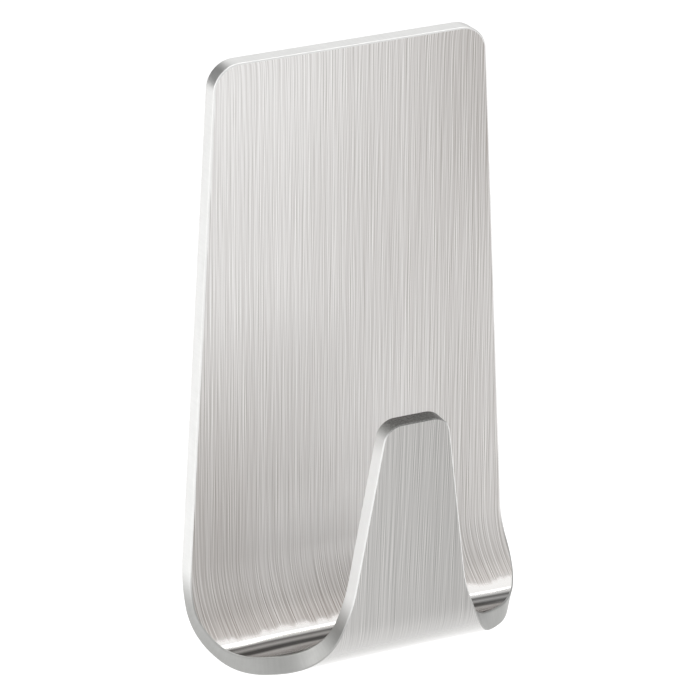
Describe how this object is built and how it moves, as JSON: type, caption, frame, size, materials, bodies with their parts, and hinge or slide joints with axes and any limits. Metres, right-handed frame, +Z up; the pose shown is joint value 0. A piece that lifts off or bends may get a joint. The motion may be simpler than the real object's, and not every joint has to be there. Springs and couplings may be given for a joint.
{
  "type": "adhesive hook",
  "caption": "Folded brushed-steel wall hook: a tapered plate curls forwards into an upright tapered tongue, held to the wall by a foam adhesive pad.",
  "frame": {"origin": "middle of the pad's sticky face, in the plane of the wall", "axes": "+Y out of the sticky face into the wall, +Z up, +X to the right seen from the front; the hook stands out towards -Y"},
  "size_m": [0.0288, 0.0141, 0.0497],
  "materials": {
    "brushed_sheet": "stainless sheet brushed along its length, with brighter cut edges",
    "foam": "pale closed-cell foam with a tacky adhesive skin"
  },
  "bodies": {
    "root": {"hook": "brushed_sheet", "adhesive_pad": "foam"}
  },
  "joints": []
}
